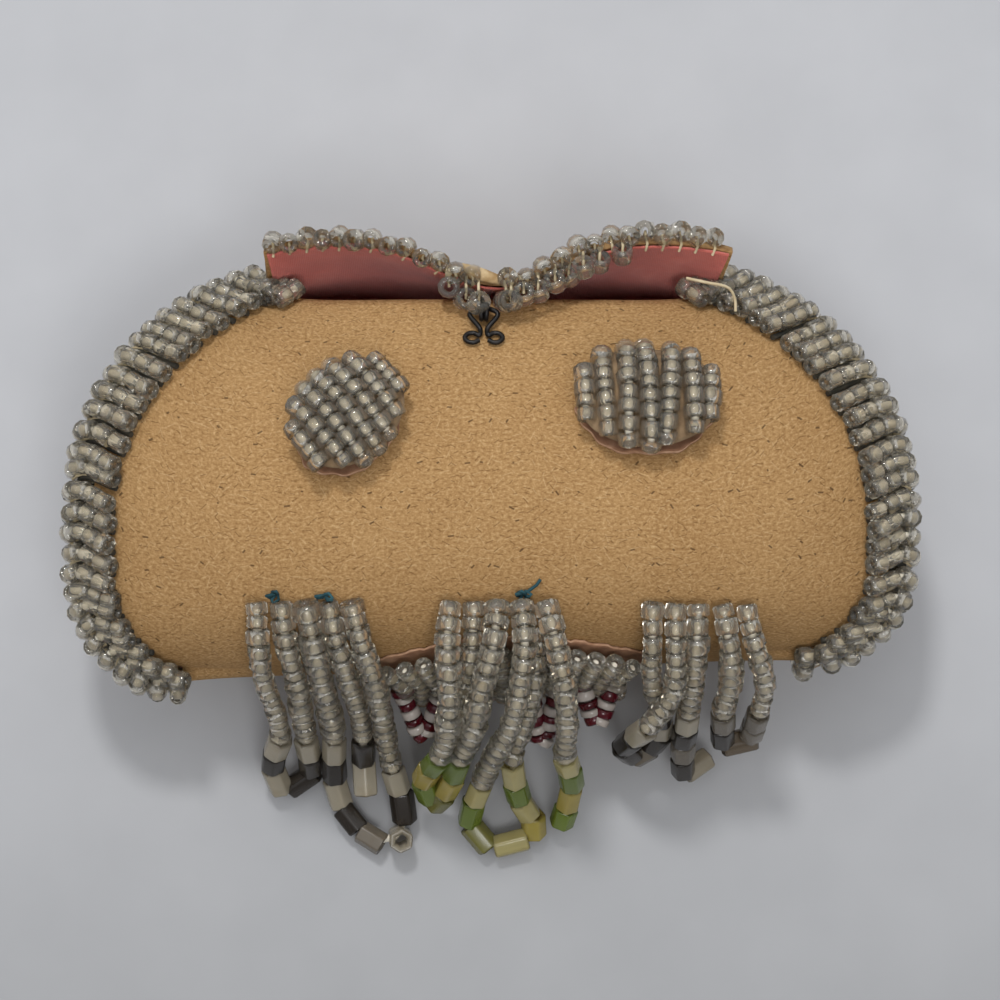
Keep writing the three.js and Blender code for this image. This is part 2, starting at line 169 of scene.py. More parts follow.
def soft_lamp(name, place, size, power):
    lamp = bpy.data.lights.new(name, "AREA")
    lamp.shape = "DISK"
    lamp.size = size
    lamp.energy = power
    holder = bpy.data.objects.new(name, lamp)
    bpy.context.scene.collection.objects.link(holder)
    holder.location = place
    holder.rotation_euler = (Vector(lamp_aim) - Vector(place)).to_track_quat("-Z", "Y").to_euler()


soft_lamp("window_light", (-0.1, 0.4, 0.78), size=0.13, power=2.5)
soft_lamp("room_light", (0.1, -0.38, 0.75), size=0.3, power=1.5)

camera_data = bpy.data.cameras.new("camera")
camera = bpy.data.objects.new("camera", camera_data)
bpy.context.scene.collection.objects.link(camera)
bpy.context.scene.camera = camera
aim = Vector((0, 0, camera_height * mm))
heading = Vector((0, -math.cos(camera_tilt), math.sin(camera_tilt)))
camera.location = aim + heading * camera_distance * mm
camera.rotation_euler = (math.pi / 2 - camera_tilt, 0, 0)
camera_data.sensor_width = sensor_width
camera_data.lens = sensor_width * lens_share
camera_data.shift_x = view_shift
camera_data.clip_start = nearest_view
bpy.context.scene.view_settings.view_transform = "Standard"


# The body is one sheet of thick, fibrous tan card, folded once round the bottom.
# It swells over the front, lies flat on its back and runs on past the mouth into a flap with a pulled-down
# tip. Its face is full of short fibres, and its cut edges are bare and a little darker.
half_width, side_radius, widest_y = 55.5, 34.5, -3
corner_radius, bottom_y = 12, -22.8
mouth_half, lip_y, lip_height, lip_lead = 32, 26, 32, 14.5
crown_reach, shoulder_reach = 42.5, 48
fold_height, fold_y, fold_tuck, fold_skew = 17.5, -24, 5, 0.033
mouth_seam_height, seam_rise = 20, 8
rest_front_y, rest_back_y, rest_lead, rest_share = -11, 20, 8, 0.45
wall_y, wall_height, wall_lead, wall_tuck, wall_dent = 34.4, 13, 5.5, 4, 0.3
flap_x, flap_half, flap_top, flap_droop, flap_y = 1, 33, 36, 6, 35
tongue_pull, tongue_share = 7, 0.36
card_thickness, seam_half_stack, fold_start = 1, 1.7, 0.94
edge_power, swell_power, swell_fullness, flap_corner_power = 5, 4, 1.2, 8
card_columns, card_rows = 90, 150
flat_unit, flat_row, flat_flap_row = 10, 7.2, 2.4
slack_row, slack_spread, slack_power = 2.25, 0.35, 6


def by_length(points):
    marks = [0.0]
    for first, second in zip(points, points[1:]):
        marks.append(marks[-1] + (second - first).length)

    def at(share):
        goal = min(max(share, 0), 1) * marks[-1]
        i = min(max(bisect.bisect_right(marks, goal) - 1, 0), len(points) - 2)
        span = marks[i + 1] - marks[i]
        return points[i].lerp(points[i + 1], (goal - marks[i]) / span if span else 0)

    at.length = marks[-1]
    return at


def turned(centre, radius, start, end, steps=120):
    angles = [start + (end - start) * i / steps for i in range(steps + 1)]
    x, y = centre
    return [Vector((x + radius * math.cos(a), y + radius * math.sin(a), 0)) for a in angles]


def yz(y, z):
    return Vector((y, z, 0))


def bent(a, b, c, d):
    return interpolate_bezier(a, b, c, d, 160)


mouth_angle = math.acos((mouth_half - (half_width - side_radius)) / side_radius)
outline = by_length(
    turned((half_width - side_radius, widest_y), side_radius, mouth_angle, 0)
    + turned((half_width - corner_radius, bottom_y + corner_radius), corner_radius, 0, -math.pi / 2))
front_line = by_length(bent(
    yz(lip_y, lip_height), yz(lip_y - lip_lead, crown_reach),
    yz(fold_y, shoulder_reach), yz(fold_y, fold_height)))
back_line = by_length(
    bent(yz(fold_y, fold_height), yz(fold_y, fold_tuck),
         yz(rest_front_y - rest_lead, 0), yz(rest_front_y, 0))
    + bent(yz(rest_back_y, 0), yz(wall_y - wall_lead, 0),
           yz(wall_y, wall_tuck), yz(wall_y, wall_height)))


def lerp(a, b, share):
    return a + (b - a) * share


def seam_height(q):
    return lerp(mouth_seam_height, fold_height, q) + seam_rise * math.sin(math.pi * q)


def askew(x, y, z):
    return Vector((x, y + fold_skew * x * max(y / fold_y, 0) ** 2, z))


def edge_at(r):
    along = min(r, 2 - r)
    plan = outline(along / fold_start)
    turn = math.pi / 2 * max(along - fold_start, 0) / (1 - fold_start)
    height = seam_height(min(max(along, 0) / fold_start, 1))
    side = -1 if r > 1 else 1
    return Vector((plan.x, plan.y - seam_half_stack * math.sin(turn),
                   height + side * seam_half_stack * math.cos(turn)))


def tongue(u):
    return math.exp(-((u / tongue_share) ** 2))


def card(u, r):
    if r > 2:
        base = card(u, 2)
        rise = r - 2
        end_y = flap_y - tongue_pull * tongue(u) - u ** flap_corner_power
        end_z = flap_top - flap_droop * u * u
        return Vector((lerp(base.x, flap_x + u * flap_half, rise),
                       lerp(base.y, end_y, rise * rise),
                       lerp(base.z, end_z, rise)))
    edge = edge_at(r)
    middle = back_line(r - 1) if r > 1 else front_line(r)
    if r > 1 and middle.x > rest_back_y:
        middle.x = lerp(middle.x, rest_back_y, wall_dent * tongue(u))
    flat = rest_share * math.sin(math.pi * (r - 1)) if r > 1 else 0
    out = max(min(abs(u), 1) - flat, 0) / (1 - flat)
    swell = (1 - out ** swell_power) ** swell_fullness
    return askew(u * edge.x, lerp(middle.x, edge.y, abs(u) ** edge_power), lerp(edge.z, middle.y, swell))


def card_normal(u, r):
    step = 1e-3
    along = card(u, min(r + step, 3)) - card(u, max(r - step, 0))
    across = card(min(u + step, 1), r) - card(max(u - step, -1), r)
    return along.cross(across).normalized()


def off_card(u, r, distance):
    return card(u, r) + card_normal(u, r) * distance


def on_front(x, y, distance):
    low, high = 0.0, 1.0
    for _ in range(30):
        r = (low + high) / 2
        if card(x / edge_at(r).x, r).y > y:
            low = r
        else:
            high = r
    return off_card(x / edge_at(low).x, low, distance)


def card_sheet(columns, rows, share, low, high, depth, slack=0):
    bm = bmesh.new()
    bmesh.ops.create_grid(bm, x_segments=columns, y_segments=rows, size=1)
    map_layer = bm.loops.layers.uv.new("UVMap")
    flat = {}
    for vert in bm.verts:
        u = share * math.sin(math.pi / 2 * vert.co.x)
        r = lerp(low, high, (vert.co.y + 1) / 2)
        near = math.exp(-(((r - slack_row) / slack_spread) ** 2))
        loose = slack * (1 - tongue(u)) * (1 - u ** slack_power) * near
        place = off_card(u, r, -depth - loose)
        flat[vert] = (place.x / flat_unit, flat_row * min(r, 2) + flat_flap_row * max(r - 2, 0))
        vert.co = place * mm
    for face in bm.faces:
        for corner in face.loops:
            corner[map_layer].uv = flat[corner.vert]
    bmesh.ops.reverse_faces(bm, faces=bm.faces)
    return bm


def fibre_group():
    group = bpy.data.node_groups.new("short_fibres", "ShaderNodeTree")
    face = group.interface
    face.new_socket("Place", in_out="INPUT", socket_type="NodeSocketVector")
    for name in ("Count", "Length", "Width", "Share", "Lean"):
        face.new_socket(name, in_out="INPUT", socket_type="NodeSocketFloat")
    face.new_socket("Mask", in_out="OUTPUT", socket_type="NodeSocketFloat")
    holder = SimpleNamespace(node_tree=group)
    start = group.nodes.new("NodeGroupInput").outputs
    end = group.nodes.new("NodeGroupOutput").inputs
    cells = node(holder, "ShaderNodeTexVoronoi", voronoi_dimensions="2D")
    feed(holder, cells.inputs["Vector"], start["Place"])
    feed(holder, cells.inputs["Scale"], start["Count"])
    chance = node(holder, "ShaderNodeSeparateColor")
    feed(holder, chance.inputs[0], cells.outputs["Color"])
    away = node(holder, "ShaderNodeVectorMath", operation="SUBTRACT")
    feed(holder, away.inputs[0], start["Place"])
    feed(holder, away.inputs[1], cells.outputs["Position"])
    spin = node(holder, "ShaderNodeVectorRotate", rotation_type="Z_AXIS")
    feed(holder, spin.inputs["Vector"], away.outputs[0])
    feed(holder, spin.inputs["Angle"],
         sums(holder, "MULTIPLY", sums(holder, "SUBTRACT", chance.outputs[0], 0.5), start["Lean"]))
    parts = node(holder, "ShaderNodeSeparateXYZ")
    feed(holder, parts.inputs[0], spin.outputs[0])
    reach = sums(holder, "MULTIPLY", start["Length"], sums(holder, "ADD", chance.outputs[2], 0.3))
    within = sums(holder, "LESS_THAN", sums(holder, "ABSOLUTE", parts.outputs[0]), reach)
    thin = sums(holder, "LESS_THAN", sums(holder, "ABSOLUTE", parts.outputs[1]), start["Width"])
    there = sums(holder, "LESS_THAN", chance.outputs[1], start["Share"])
    feed(holder, end[0], sums(holder, "MULTIPLY", sums(holder, "MULTIPLY", within, thin), there))
    return group


short_fibres = fibre_group()


def fibres(finish, place, **values):
    made = finish.node_tree.nodes.new("ShaderNodeGroup")
    made.node_tree = short_fibres
    feed(finish, made.inputs["Place"], place)
    for name, value in values.items():
        made.inputs[name].default_value = value
    return made.outputs[0]


tan_card, shader = new_finish("fibrous_tan_card")
flat_place = uv_place(tan_card)
streak = node(tan_card, "ShaderNodeVectorMath", operation="MULTIPLY")
feed(tan_card, streak.inputs[0], flat_place)
streak.inputs[1].default_value = (0.75, 1, 1)
mottle = clouds(tan_card, flat_place, scale=0.9, detail=5.0, roughness=0.65)
speckle = clouds(tan_card, streak.outputs[0], scale=24.0, detail=6.0, roughness=0.78)
tone = ramp(tan_card, mottle, (0.3, paint(152, 114, 70)), (0.7, paint(182, 145, 97)))
tone = mixed(tan_card, 0.7, tone, ramp(
    tan_card, speckle, (0.32, paint(114, 78, 40)), (0.5, paint(175, 136, 88)),
    (0.68, paint(222, 187, 136))))
pale = fibres(tan_card, flat_place, Count=7.0, Length=0.085, Width=0.006, Share=0.6, Lean=2.6)
tone = mixed(tan_card, sums(tan_card, "MULTIPLY", pale, 0.4), tone, paint(212, 180, 134))
dark = fibres(tan_card, flat_place, Count=11.0, Length=0.05, Width=0.006, Share=0.3, Lean=2.0)
tone = mixed(tan_card, sums(tan_card, "MULTIPLY", dark, 0.7), tone, paint(112, 78, 42))
fleck = fibres(tan_card, flat_place, Count=4.5, Length=0.035, Width=0.012, Share=0.17, Lean=2.2)
tone = mixed(tan_card, sums(tan_card, "MULTIPLY", fleck, 0.75), tone, paint(70, 46, 26))
feed(tan_card, shader.inputs["Base Color"], tone)
relief = sums(tan_card, "ADD", speckle, sums(tan_card, "MULTIPLY", dark, -0.4))
feed(tan_card, shader.inputs["Normal"], bump(tan_card, relief, strength=0.35, distance=0.0003))
shader.inputs["Roughness"].default_value = 0.88
shader.inputs["Specular IOR Level"].default_value = 0.25


def matt_finish(name, scale, first, second, roughness=0.95):
    finish, shader = new_finish(name)
    grain = clouds(finish, object_place(finish), scale)
    feed(finish, shader.inputs["Base Color"], ramp(finish, grain, (0.3, paint(*first)), (0.7, paint(*second))))
    shader.inputs["Roughness"].default_value = roughness
    return finish


def thicken(piece, thickness, rim=0):
    wall = piece.modifiers.new("thickness", "SOLIDIFY")
    wall.thickness = thickness * mm
    wall.offset = -1
    wall.material_offset_rim = rim


card_edge = matt_finish("cut_card_edge", 900.0, (126, 92, 54), (182, 145, 98))
card_piece = make_piece("card_body", card_sheet(card_columns, card_rows, 1, 0, 3, 0), tan_card)
card_piece.data.materials.append(card_edge)
thicken(card_piece, card_thickness, rim=1)
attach(card_piece, "root")
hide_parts("card")


# The lining is one piece of faded pink cotton, pasted to the inside of the card up to the flap's edge.
# It is blotched, hangs a little loose on both sides of the flap's tip and shows its weave close to.
lining_columns, lining_rows = 60, 110
lining_gap, lining_thickness, lining_share, lining_slack = 0.25, 0.3, 0.985, 2.4
lining_start, lining_end = 0.02, 2.985
lining_depth = card_thickness + lining_gap
pink_cotton, shader = new_finish("faded_pink_cotton")
flat_place = uv_place(pink_cotton)
blotch = clouds(pink_cotton, flat_place, scale=1.3, detail=4.0, roughness=0.6)
tone = ramp(pink_cotton, blotch, (0.3, paint(196, 98, 88)), (0.55, paint(212, 112, 100)),
            (0.75, paint(222, 130, 116)))


def yarns(direction):
    made = node(pink_cotton, "ShaderNodeTexWave", bands_direction=direction, Scale=12.0, Distortion=1.5)
    feed(pink_cotton, made.inputs["Vector"], flat_place)
    return made.outputs["Fac"]


weave = sums(pink_cotton, "MULTIPLY", yarns("Y"), yarns("X"))
tone = mixed(pink_cotton, sums(pink_cotton, "MULTIPLY", weave, 0.25), tone, paint(228, 148, 134))
feed(pink_cotton, shader.inputs["Base Color"], tone)
relief = sums(pink_cotton, "ADD", weave, sums(pink_cotton, "MULTIPLY", blotch, 9))
feed(pink_cotton, shader.inputs["Normal"], bump(pink_cotton, relief, strength=0.5, distance=0.0002))
shader.inputs["Roughness"].default_value = 0.95
shader.inputs["Sheen Weight"].default_value = 0.2

bm = card_sheet(lining_columns, lining_rows, lining_share, lining_start, lining_end, lining_depth, lining_slack)
lining_area = sum(face.calc_area() for face in bm.faces)
lining_piece = make_piece("cotton_lining", bm, pink_cotton)
thicken(lining_piece, lining_thickness)
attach(lining_piece, "root")
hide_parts("lining")


# The side seams are closed with rows of clear beads, strung on thread and whipped over the card's edges.
# Each row starts on the front, goes round the edge and ends on the back. Dark stitches of the sewing thread
# lie between the rows, partly real thread and partly painted shade standing in for the dark gaps between
# the rows, and the rows run on a little way along the lip.
gap = 0.3
seed_diameter, seed_steps, bead_end_grime_and_shade, bead_painted_sheen = 2.9, 10, 0.6, 0.08
seed_profile = ((0.22, -0.46), (0.42, -0.5), (0.5, -0.36), (0.5, 0.36), (0.42, 0.5), (0.22, 0.46))
bead_fill, thread_inset, upright_axis, upright_lift = 0.98, 0.45, Vector((0.1, -0.25, 1)), 0.8
seam_row_pitch, seam_arm, seam_wrap = 2.85, 4, math.radians(62)
seam_lift = gap + seed_diameter / 2
seam_start, seam_stop, seam_end_row, end_row_span = 0.02, 0.965, 0.992, 0.62
seam_bead_share, seam_bead_pitch, row_steps, row_front, row_back = 0.93, 2.6, 22, 2.05, -1.7
row_lean, lean_fade, row_raise, stitched_to = -0.014, 1.6, 0.5, 0.9
stitch_step, stitch_lift, whip_step, whip_lean, whip_lift, whip_sink = 0.018, 0.3, 0.02, -0.008, 1.7, 0.7
seam_thread, stitch_thread, whip_thread = 1.1, 0.9, 0.45
lip_places, lip_bead, lip_bead_pitch = (0.98, 0.93, 0.885, 0.84), 2.8, 2.4
loose_end = [(27.4, 29.3, 31), (30, 28.6, 31.4), (33.4, 28, 30.4), (34.3, 26.6, 29.4), (34.4, 25, 29)]


def lathe(profile, steps):
    bm = bmesh.new()
    verts = [bm.verts.new((x, 0, z)) for x, z in profile]
    edges = [bm.edges.new((a, b)) for a, b in zip(verts, verts[1:] + verts[:1])]
    bmesh.ops.spin(bm, geom=verts + edges, cent=(0, 0, 0), axis=(0, 0, 1), angle=2 * math.pi,
                   steps=steps, use_merge=True)
    bmesh.ops.remove_doubles(bm, verts=bm.verts, dist=1e-5)
    bmesh.ops.recalc_face_normals(bm, faces=bm.faces)
    mesh = bpy.data.meshes.new("bead_shape")
    bm.to_mesh(mesh)
    bm.free()
    return mesh


seed_shape = lathe(seed_profile, seed_steps)


def smooth_route(points, steps=14):
    ends = [2 * points[0] - points[1]] + points + [2 * points[-1] - points[-2]]
    route = []
    for p0, p1, p2, p3 in zip(ends, ends[1:], ends[2:], ends[3:]):
        d0, d1, d2 = ((b - a).length ** 0.5 for a, b in ((p0, p1), (p1, p2), (p2, p3)))
        t1 = (p1 - p0) / d0 - (p2 - p0) / (d0 + d1) + (p2 - p1) / d1
        t2 = (p2 - p1) / d1 - (p3 - p1) / (d1 + d2) + (p3 - p2) / d2
        route += interpolate_bezier(p1, p1 + t1 * d1 / 3, p2 - t2 * d1 / 3, p2, steps)[:-1]
    return route + [points[-1]]


def new_pile():
    pile = bmesh.new()
    pile.verts.layers.float_color.new("bead_colour")
    return pile


def set_bead(pile, shape, place, axis, diameter, length, colour):
    copy = shape.copy()
    turn = axis.to_track_quat("Z", "Y").to_matrix().to_4x4()
    spin = Matrix.Rotation(rng.uniform(0, 2 * math.pi), 4, "Z")
    size = Matrix.Diagonal((diameter * mm, diameter * mm, length * mm, 1))
    copy.transform(Matrix.Translation(place * mm) @ turn @ spin @ size)
    start = len(pile.verts)
    pile.from_mesh(copy)
    bpy.data.meshes.remove(copy)
    pile.verts.ensure_lookup_table()
    layer = pile.verts.layers.float_color["bead_colour"]
    for vert, model in zip(pile.verts[start:], shape.vertices):
        # Each bead's ends are darkened, partly grime and partly painted shade where the beads meet.
        end_shade_and_sheen = bead_end_grime_and_shade if abs(model.co.z) > 0.45 else 1
        # Painted satin sheen: each bead is darker on two opposite sides.
        end_shade_and_sheen *= 1 - bead_painted_sheen * (model.co.x / model.co.to_2d().length) ** 2
        vert[layer] = (*(end_shade_and_sheen * value for value in colour[:3]), 1)


def shade_of(red, green, blue, spread=10):
    shift = rng.uniform(-spread, spread)
    return paint(*(min(max(value + shift, 0), 255) for value in (red, green, blue)))


def thread_piece(name, routes, diameter, finish, roundness=1):
    curve = bpy.data.curves.new(name, "CURVE")
    curve.dimensions = "3D"
    curve.bevel_depth = diameter / 2 * mm
    curve.bevel_resolution = roundness
    curve.use_fill_caps = True
    for route in routes:
        spline = curve.splines.new("POLY")
        spline.points.add(len(route) - 1)
        for point, place in zip(spline.points, route):
            point.co = (*(place * mm), 1)
    holder = bpy.data.objects.new(name, curve)
    mesh = bpy.data.meshes.new_from_object(holder)
    bpy.data.objects.remove(holder)
    mesh.shade_smooth()
    piece = bpy.data.objects.new(name, mesh)
    bpy.context.scene.collection.objects.link(piece)
    mesh.materials.clear()
    mesh.materials.append(finish)
    return piece


def glass_finish(name, transmission, roughness):
    finish, shader = new_finish(name)
    colour = node(finish, "ShaderNodeAttribute", attribute_name="bead_colour").outputs["Color"]
    dirt = clouds(finish, object_place(finish), scale=420.0)
    soiled = ramp(finish, dirt, (0.5, (0, 0, 0, 1)), (0.8, (0.4, 0.4, 0.4, 1)))
    browned = mixed(finish, 1.0, colour, paint(226, 212, 190), "MULTIPLY")
    feed(finish, shader.inputs["Base Color"], mixed(finish, soiled, colour, browned))
    dulled = sums(finish, "MULTIPLY", dirt, 0.1)
    feed(finish, shader.inputs["Roughness"], sums(finish, "ADD", dulled, roughness))
    shader.inputs["Transmission Weight"].default_value = transmission
    shader.inputs["IOR"].default_value = 1.5
    return finish


clear_glass = glass_finish("clear_bead_glass", transmission=0.92, roughness=0.0)


def thread_finish(name, first, second):
    return matt_finish(name, 700.0, first, second, roughness=0.9)


cream_thread = thread_finish("cream_thread", (184, 166, 130), (220, 204, 170))
white_thread = thread_finish("white_core_thread", (242, 232, 210), (254, 248, 234))
dark_thread_and_gap_shade = thread_finish("dark_sewing_thread_and_gap_shade", (44, 43, 38), (74, 70, 60))


def seam_point(side, q, place, distance):
    front = q * fold_start
    inset = (abs(place) - 1) * seam_arm
    if abs(place) > 1:
        r = front if place > 0 else 2 - front
        return off_card(side * (1 - inset / edge_at(r).x), r, distance)
    plan = outline(q)
    heading = (outline(q + 1e-3) - outline(q - 1e-3)).normalized()
    reach = seam_half_stack + distance
    angle = place * seam_wrap
    return askew(side * (plan.x - heading.y * reach * math.cos(angle)),
                 plan.y + heading.x * reach * math.cos(angle),
                 seam_height(q) + reach * math.sin(angle))


def seam_rows(side):
    q = seam_start
    while q < seam_stop:
        yield q
        stride = seam_point(side, q + 1e-3, 0, seam_lift) - seam_point(side, q - 1e-3, 0, seam_lift)
        q += seam_row_pitch * rng.uniform(0.9, 1.1) * 2e-3 / stride.length
    yield seam_end_row


def string_beads(pile, route, shape, pitch, colour, diameter, spread=0.09, upright=None):
    at = by_length(route)
    count = max(1, round(at.length / pitch))
    shares = [rng.uniform(0.8, 1.2) for _ in range(count)]
    whole, passed = sum(shares), 0
    for i, share in enumerate(shares):
        middle = (passed + share / 2) / whole
        passed += share
        axis = (at(middle + 0.01) - at(middle - 0.01)).normalized()
        axis += spread * Vector([rng.uniform(-1, 1) for _ in range(3)])
        place = at(middle)
        if i == upright:
            axis = upright_axis
            place.z += upright_lift
        grow = rng.uniform(1 - spread, 1 + spread)
        length = bead_fill * at.length * share / whole
        set_bead(pile, shape, place, axis, diameter * grow, length, colour(i))
    steps = 2 * count
    return [at(lerp(thread_inset, count - thread_inset, i / steps) / count) for i in range(steps + 1)]


def clear(_):
    return shade_of(253, 247, 232, 2)


for side, name in ((-1, "left_seam"), (1, "right_seam")):
    pile, threads, stitches, whipping = new_pile(), [], [], []
    for row, q in enumerate(seam_rows(side)):
        lean = row_lean * max(1 - lean_fade * q, 0) + rng.uniform(-0.003, 0.003)
        raised = row_raise * (row % 2) + rng.uniform(-0.25, 0.25)
        span = end_row_span if q == seam_end_row else 1
        route, stitch, whip = [], [], []
        for i in range(row_steps + 1):
            place = lerp(row_front, row_back, i / row_steps) * span
            at = min(max(q + lean * place, 0.004), 0.996)
            route.append(seam_point(side, at, place, seam_lift + raised * max(place - 0.8, 0)))
            beside = min(at + stitch_step, 0.998)
            stitch.append(seam_point(side, beside, place - 0.15, gap + stitch_lift))
            beside = min(at + whip_step + whip_lean * place, 0.998)
            whip.append(seam_point(side, beside, place, whip_lift - whip_sink * abs(place)))
        threads.append(string_beads(
            pile, route, seed_shape, seam_bead_pitch, clear, seam_bead_share * seed_diameter, spread=0.11))
        if q < stitched_to:
            stitches.append(stitch)
            whipping.append(whip[3:12])
    for u in lip_places:
        lip = card(side * u, 0)
        route = [off_card(side * u, r, seam_lift) for r in (0.05, 0.01)]
        route.append(lip + Vector((0, 1.8, 0.9 + rng.uniform(-0.2, 0.3))))
        threads.append(string_beads(pile, route, seed_shape, lip_bead_pitch, clear, lip_bead))
    if side > 0:
        whipping.append(smooth_route([Vector(place) for place in loose_end], 6))
    beads = make_piece(name + "_glass", pile, clear_glass)
    core = thread_piece(name + "_thread", threads, seam_thread, white_thread)
    # The dark stitches are partly sewing thread and partly painted shade in the gaps between the rows.
    under = thread_piece(name + "_stitches_and_gap_shade", stitches, stitch_thread, dark_thread_and_gap_shade)
    over = thread_piece(name + "_whipping", whipping, whip_thread, cream_thread)
    for piece in (beads, core, under, over):
        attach(piece, "root")
    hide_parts(name + "_beads")


# The flap's edge carries a single row of the same beads, each with its own cream stitch over the edge.
# More of them hang just inside the edge around the tip, where the card has torn and rolled up.
flap_pitch, flap_bead_length, flap_thread_diameter = 2.35, 2.4, 0.42
flap_start, flap_stop, tip_clear, stitch_row = -0.96, 0.97, 0.04, 2.95
flap_lifts, flap_steps_back = (0.3, 0.8), (0.35, -0.35)
right_from, right_back, right_low = 0.25, 0.9, 0.5
inner_beads = (
    (-0.2, 2.6, 0.3), (-0.13, 3.2, -0.6), (-0.08, 3.4, 0.9), (0.03, 2.8, 0.2), (0.05, 2.9, 1.4),
    (0.1, 2.4, 1.8), (0.16, 2.6, 0.6), (0.23, 2.4, 1.0), (0.29, 2.5, 0.2), (0.35, 2.3, 1.1),
    (0.42, 2.2, 0.3), (0.52, 1.8, 0.2))
roll_radius, roll_turn, roll_tilt, roll_ends, roll_thickness = 0.7, math.radians(250), 0.6, 0.55, 0.3
roll_points = ((-4.2, 29.8, 34.8), (-1.9, 28.6, 35.8), (-0.3, 27.9, 36.2), (1.4, 27.6, 36))


def flap_edge(u):
    up = (card(u, 3) - card(u, 2.97)).normalized()
    return off_card(u, 3, -card_thickness / 2), up


pile, stitches = new_pile(), []
u, place = flap_start, 0
while u < flap_stop:
    foot, up = flap_edge(u)
    back, low = (right_back, right_low) if u > right_from else (0, 0)
    if abs(u) > tip_clear:
        lift = flap_lifts[place % 2] - low + rng.uniform(-0.2, 0.2)
        centre = foot + up * lift + Vector((0, back + flap_steps_back[place % 2], 0))
        axis = Vector((rng.uniform(-0.5, 0.5), rng.uniform(-1, 0.2), 1)).normalized()
        set_bead(pile, seed_shape, centre, axis, rng.uniform(2.7, 3.2), flap_bead_length, clear(0))
        inner = off_card(u, stitch_row, -lining_depth - 0.5)
        outer = off_card(u, stitch_row, 0.25)
        stitches.append([outer, centre, foot + up * 0.3 + Vector((0.2, -0.7, 0)), inner])
    u += rng.uniform(0.93, 1.07) * flap_pitch / flap_half
    place += 1
for u, inside, up_by in inner_beads:
    foot, up = flap_edge(u)
    centre = foot + up * up_by + Vector((0, -inside, 0))
    axis = Vector((rng.uniform(-0.6, 0.6), rng.uniform(-0.6, 0.6), 1)).normalized()
    set_bead(pile, seed_shape, centre, axis, rng.uniform(2.9, 3.4), flap_bead_length, clear(0))
    stitches.append([foot + up * 0.5, lerp(foot, centre, 0.5) + up * 0.9, centre])
flap_glass = make_piece("flap_edge_glass", pile, clear_glass)
flap_thread = thread_piece("flap_edge_thread", stitches, flap_thread_diameter, cream_thread)
for piece in (flap_glass, flap_thread):
    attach(piece, "root")
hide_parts("flap_beads_left", "flap_beads_right", "flap_beads_inside")

roll_line = by_length(bent(*(Vector(point) for point in roll_points)))
bm = bmesh.new()
bmesh.ops.create_grid(bm, x_segments=16, y_segments=10, size=1)
for vert in bm.verts:
    share = (vert.co.x + 1) / 2
    angle = roll_turn * vert.co.y / 2 + roll_tilt
    radius = roll_radius * lerp(roll_ends, 1, math.sin(math.pi * share))
    around = Vector((0.4 * math.cos(angle), math.cos(angle), math.sin(angle)))
    vert.co = (roll_line(share) + around * radius) * mm
bmesh.ops.recalc_face_normals(bm, faces=bm.faces)
# The rolled tip is coloured pale, partly as bare frayed card and partly as a painted highlight along the curl.
frayed_card_and_painted_highlight = matt_finish("frayed_card_edge", 700.0, (160, 128, 84), (216, 192, 150))
rolled_tip = make_piece("rolled_tip", bm, frayed_card_and_painted_highlight)
thicken(rolled_tip, roll_thickness)
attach(rolled_tip, "root")


# The two bosses are domes of clear beads sewn in rows over a stuffed round of pinkish brown paper.
# The paper's torn, paler edge shows below each dome and stands a little off the card.
backing_thickness, paper_thickness, backing_margin, paper_cells = 0.4, 0.35, 0.8, 28
bead_base = 2 * gap + backing_thickness
curl_from, torn_waves = 0.8, ((0.02, 7, 0), (0.016, 17, 1))
stuffing_share, stuffing_height, stuffing_cells = 0.94, 0.9, 20
boss_rise, boss_rows, boss_steps, boss_reach = 3.2, 7, 14, 1.04
boss_bead, boss_bead_pitch, boss_thread = 3.0, 1.95, 1.15
bosses = (("left", -19.2, 7.2, 16.2, 12.6, 42), ("right", 20.9, 9.4, 19.2, 13.2, 0))

brown_paper, shader = new_finish("pinkish_brown_paper")
worn = clouds(brown_paper, object_place(brown_paper), scale=260.0, detail=4.0, roughness=0.6)
feed(brown_paper, shader.inputs["Base Color"], ramp(
    brown_paper, worn, (0.3, paint(118, 82, 58)), (0.55, paint(158, 116, 88)),
    (0.75, paint(190, 150, 120))))
feed(brown_paper, shader.inputs["Normal"], bump(brown_paper, worn, strength=0.4, distance=0.0003))
shader.inputs["Roughness"].default_value = 0.95
torn_paper = matt_finish("torn_paper_edge", 900.0, (158, 116, 88), (204, 166, 136))
wadding = matt_finish("brown_cotton_wadding", 600.0, (122, 98, 72), (164, 138, 106))


def paper_piece(name, bm, cad_node):
    bmesh.ops.recalc_face_normals(bm, faces=bm.faces)
    paper = make_piece(name, bm, brown_paper)
    paper.data.materials.append(torn_paper)
    thicken(paper, paper_thickness, rim=1)
    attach(paper, "root")
    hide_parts(cad_node)


def rounded(square):
    a, b = square.x, square.y
    return Vector((a * math.sqrt(1 - b * b / 2), b * math.sqrt(1 - a * a / 2)))


def dome(a, b):
    return boss_rise * math.sqrt(max((1 - a * a) * (1 - b * b), 0))


